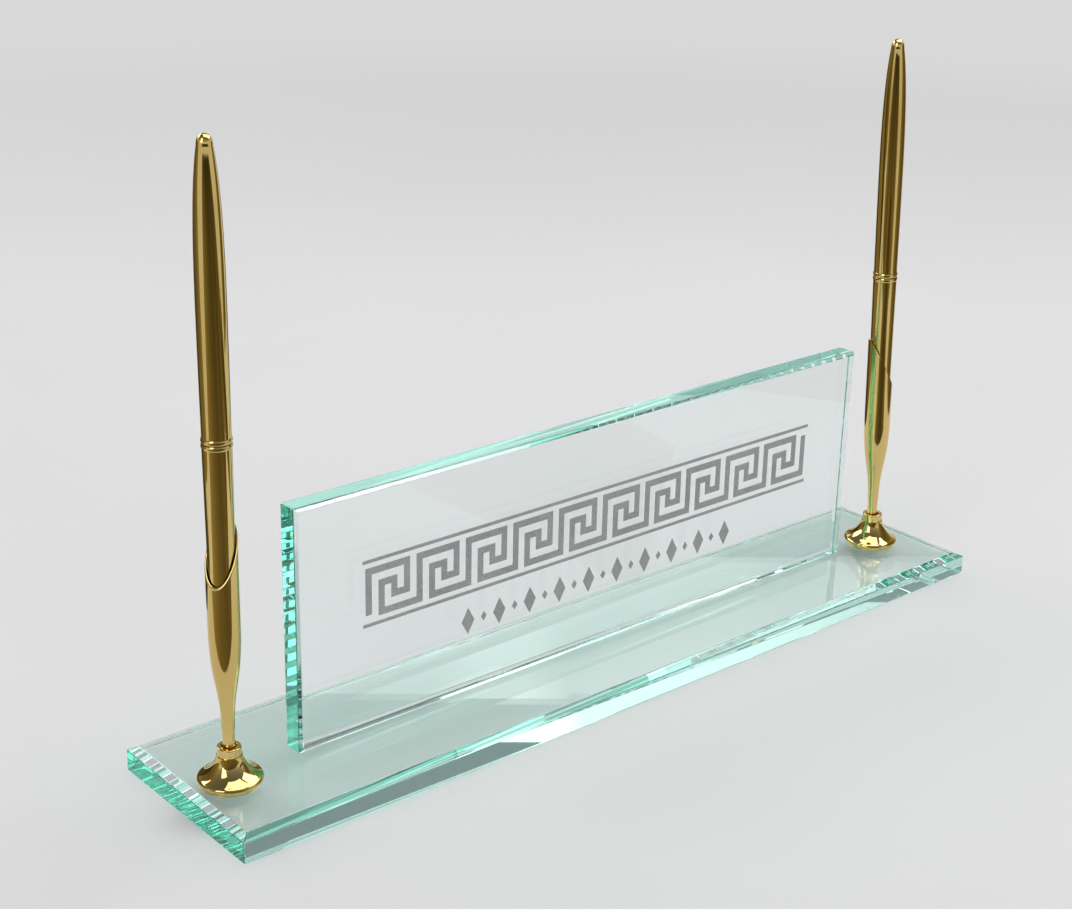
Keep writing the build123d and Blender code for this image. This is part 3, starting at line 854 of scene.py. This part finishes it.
card(
    "rear_card",
    ((0.26, 0.12, 0.002), (0.30, 0.45, 0.20)),
    ((-0.26, 0.12, 0.002), (-0.30, 0.45, 0.20)),
    (0.3, 0.12, 0.05, 0.08, 0.3, 0.2, 0.3, 0.1, 0.04, 0.1, 0.3),
    ("glossy",),
    BROWN_CARD,
)
card(
    "near_right_card",
    (ground(0.56, 0.08, 0.001), ground(0.42, 0.05, 0.07)),
    (ground(0.56, 0.22, 0.001), ground(0.42, 0.22, 0.07)),
    (0.3, 0.15, 0.09, 0.07, 0.09, 0.15, 0.3),
    ("glossy",),
    BROWN_CARD,
)
print("cards: five brown")

# %% [markdown]
# Bright cards hang high. The one behind shines into the slabs, and light that has run along inside
# them comes out at their ends as bright squares, with a stronger card for each end. Two more stand
# where the bevel of the base and the chamfer of the upright mirror them as white lines.

# %% Bright cards for the glass
card(
    "back_light",
    (beyond(52.0, -0.25, 0.43), beyond(52.0, -0.25, 0.566)),
    (beyond(52.0, 0.55, 0.43), beyond(52.0, 0.55, 0.566)),
    (1.3, 1.3, 1.3, 1.3, 1.2, 0.9, 0.5, 0.2),
    ("glossy", "transmission"),
)
for name, azimuth in (("far_end_light", 52.0), ("near_end_light", -52.0)):
    card(
        name,
        (beyond(azimuth, -0.06, 0.41, 0.98), beyond(azimuth, -0.06, 0.56, 0.98)),
        (beyond(azimuth, 0.06, 0.41, 0.98), beyond(azimuth, 0.06, 0.56, 0.98)),
        (1.2, 2.2, 2.2, 1.2),
        ("transmission",),
    )
card(
    "bevel_light",
    (beyond(7.0, -0.1, 0.74), beyond(7.0, -0.1, 1.25)),
    (beyond(7.0, 0.1, 0.74), beyond(7.0, 0.1, 1.25)),
    (7.0, 7.0, 7.0),
    ("glossy",),
)
card(
    "chamfer_light",
    (beyond(-45.0, 0.0, 1.36), beyond(-45.0, 0.0, 1.52)),
    (beyond(-29.0, 0.0, 0.98), beyond(-29.0, 0.0, 1.14)),
    (8.0, 8.0, 8.0, 7.0, 4.0, 1.0),
    ("glossy",),
)
print("cards: five bright")

# %% [markdown]
# Four soft boxes light the object: a key from the right, one from behind, one from above and a weak
# one from the left. Large boxes give soft shadows. The room adds a little light from all sides: it
# is as pale as the floor near the horizon, and dims towards the ceiling, so that what faces up in
# the gold and the glass has something darker to mirror.


# %% Lamps
def soft_box(name, place, size, power, aim=(0.0, 0.0, 0.06)):
    """An area lamp at a place, turned to face its aim."""
    lamp = bpy.data.lights.new(name, "AREA")
    lamp.shape = "RECTANGLE"
    lamp.size, lamp.size_y = size
    lamp.energy = power
    box = bpy.data.objects.new(name, lamp)
    back = np.array(place) - np.array(aim)
    back /= np.linalg.norm(back)
    right = np.cross((0.0, 0.0, 1.0), back)
    right /= np.linalg.norm(right)
    turn = np.eye(4)
    turn[:3, :3] = np.stack([right, np.cross(back, right), back], 1)
    turn[:3, 3] = place
    box.matrix_world = Matrix(turn.tolist())
    scene.collection.objects.link(box)


soft_box("key_box", (1.0, -0.2, 1.15), (1.3, 0.7), 8.5)
soft_box("back_box", (-0.35, 1.25, 0.9), (1.2, 0.5), 7.0)
soft_box("top_box", (0.1, -0.05, 1.15), (1.0, 0.8), 5.5)
soft_box("side_box", (-1.1, -0.35, 0.7), (0.5, 0.8), 3.0)
print("lamps: four soft boxes")

# %% [markdown]
# The room is one ramp over height, so that every ray sees the same room. Light that runs along
# inside the glass is turned round many times before it comes out, so many turns are allowed.
# Caustics are left out, because few rays would find them and they would show as specks.

# %% Room
ROOM_LOW, ROOM_DIM, ROOM_DARK = (0.36, 0.36, 0.37), (0.22, 0.22, 0.23), (0.12, 0.12, 0.13)
TURNS = 40
world = bpy.data.worlds.new("studio_room")
scene.world = world
room = Sheet(world)
height = room.node("SeparateXYZ", {}, {0: room.node("TexCoord", output="Generated")}, output="Z")
shade = room.node(
    "ValToRGB",
    {"stops": ((0.24, PALE), (0.34, ROOM_LOW), (0.6, ROOM_DIM), (1.0, ROOM_DARK))},
    {0: height},
)
room.node("OutputWorld", {}, {"Surface": room.node("Background", {}, {"Color": shade})})
scene.view_settings.view_transform = "Standard"
scene.cycles.caustics_reflective = False
scene.cycles.caustics_refractive = False
scene.cycles.max_bounces = TURNS
scene.cycles.glossy_bounces = TURNS
scene.cycles.transmission_bounces = TURNS
print("room: pale to the horizon,", TURNS, "turns for a ray")

# %% [markdown]
# The camera stands where the photograph was taken from. Its place and turn were worked out from
# the corners of the glass, whose sizes are known from the CAD model.

# %% Camera
camera_data = bpy.data.cameras.new("camera")
camera_data.sensor_width = 36.0
camera_data.lens = 65.06
camera = bpy.data.objects.new("camera", camera_data)
stand_point = np.eye(4)
stand_point[:3, 0] = (0.76267, -0.64643, 0.02155)
stand_point[:3, 1] = (0.21946, 0.28998, 0.93153)
stand_point[:3, 2] = (-0.60842, -0.70572, 0.36303)
stand_point[:3, 3] = (-0.378088, -0.409127, 0.287711)
camera.matrix_world = Matrix(stand_point.tolist())
scene.collection.objects.link(camera)
scene.camera = camera
print("camera:", camera_data.lens, "mm lens")
